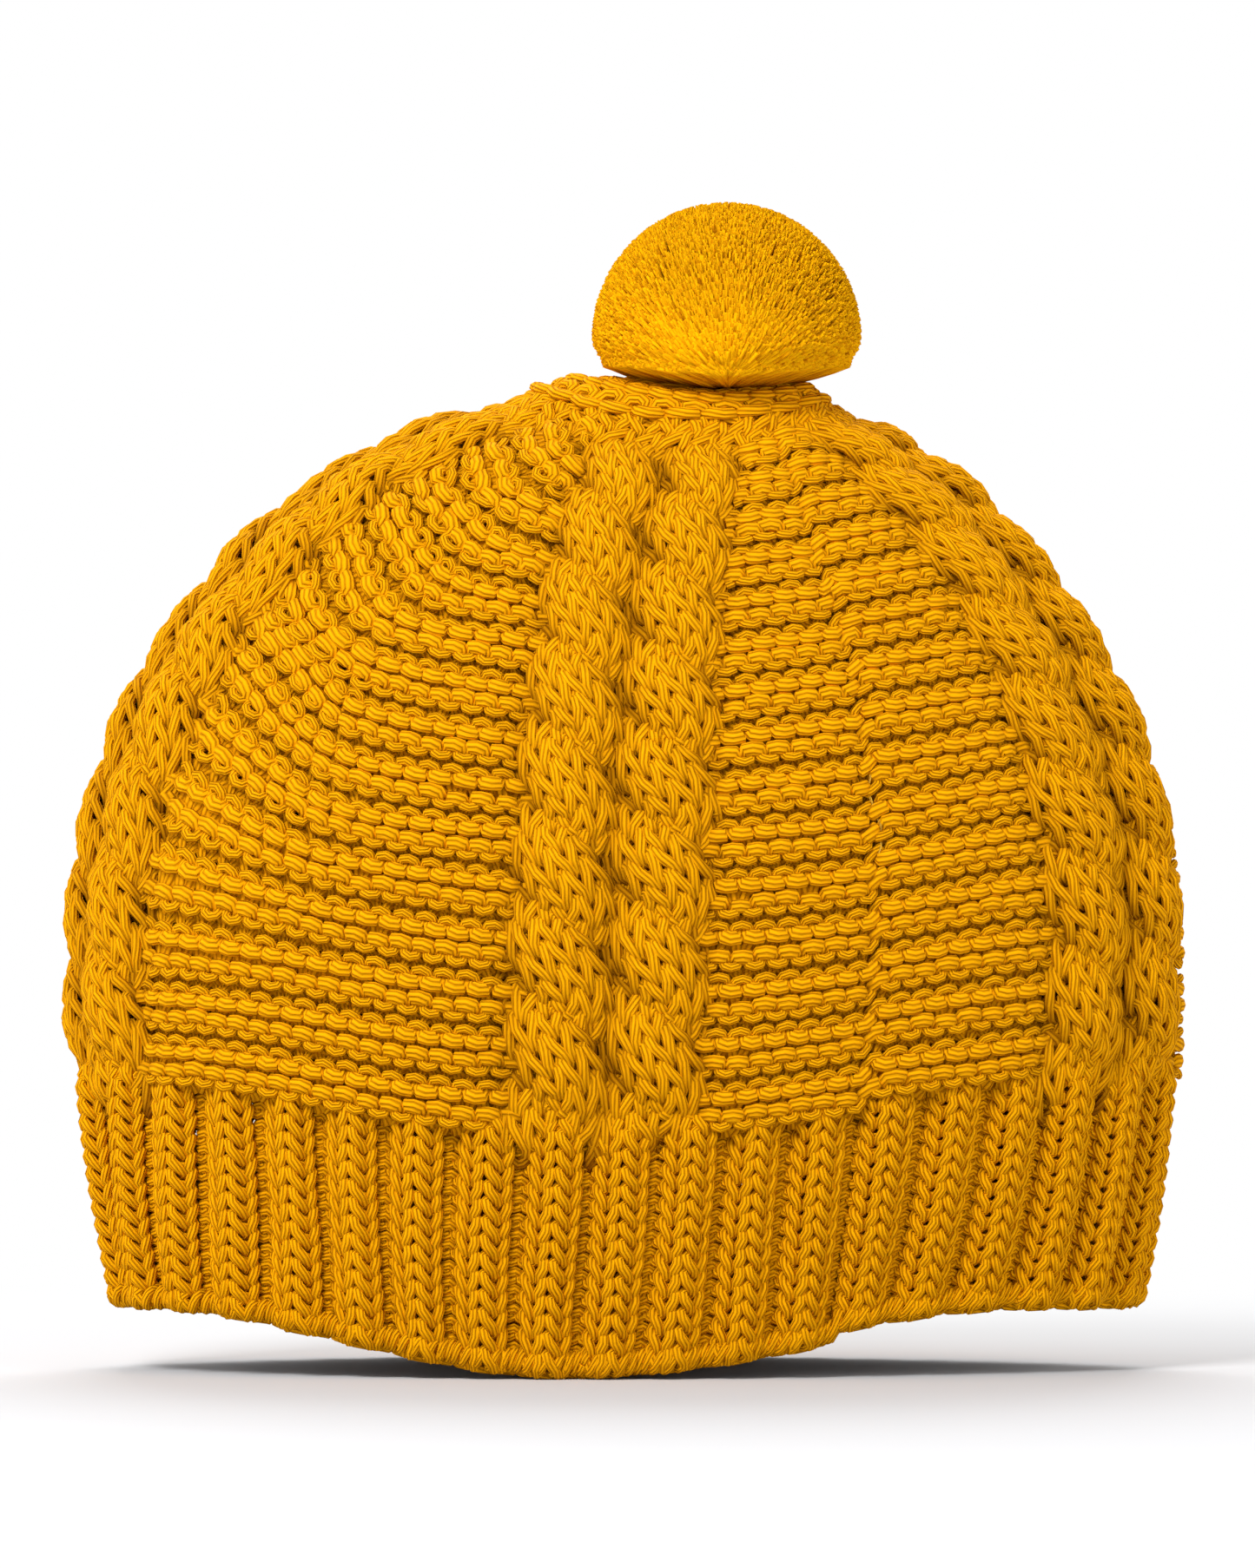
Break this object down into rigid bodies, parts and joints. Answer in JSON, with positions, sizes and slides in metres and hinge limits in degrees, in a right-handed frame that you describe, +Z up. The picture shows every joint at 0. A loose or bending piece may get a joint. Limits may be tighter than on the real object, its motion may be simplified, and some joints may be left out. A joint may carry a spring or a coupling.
{
  "type": "knit beanie",
  "caption": "Cable and welt knit beanie with a ribbed brim, a gathered crown and a pompom that nods and sways on its neck.",
  "frame": {"origin": "middle of the head opening, level with the lowest point of the brim's edge at the front", "axes": "+Z up to the crown, -Y to the front, +X to the right of someone facing the front; the head goes in along +Z"},
  "size_m": [0.2228, 0.105, 0.2287],
  "materials": {
    "knit_yarn": "matte",
    "seam_yarn": "matte",
    "tying_yarn": "matte",
    "pompom_yarn": "matte"
  },
  "bodies": {
    "hat": {"cast_on_edge": "knit_yarn", "ribbed_brim": "knit_yarn", "crown_ring": "knit_yarn", "side_seam": "seam_yarn", "front_cable_left": "knit_yarn", "front_cable_right": "knit_yarn", "front_left_panel": "knit_yarn", "front_right_panel": "knit_yarn", "right_cable_front": "knit_yarn", "right_cable_back": "knit_yarn", "left_cable_front": "knit_yarn", "left_cable_back": "knit_yarn", "back_cable_left": "knit_yarn", "back_cable_right": "knit_yarn", "back_left_panel": "knit_yarn", "back_right_panel": "knit_yarn", "drawstring": "tying_yarn", "anchor_knot": "tying_yarn", "anchor_yarn": "tying_yarn"},
    "neck": {"pompom_neck": "tying_yarn"},
    "pompom": {"pompom_pile": "pompom_yarn", "pompom_binding": "tying_yarn"}
  },
  "joints": [
    {"name": "pompom_nod", "type": "hinge", "parent": "hat", "child": "neck", "pos_m": [0.01949, 0, 0.196], "axis": [1, 0, 0], "range_deg": [-12, 12], "stiffness_Nm_per_rad": 0.02},
    {"name": "pompom_sway", "type": "hinge", "parent": "neck", "child": "pompom", "pos_m": [0.01949, 0, 0.196], "axis": [0, 1, 0], "range_deg": [-12, 12], "stiffness_Nm_per_rad": 0.02}
  ]
}
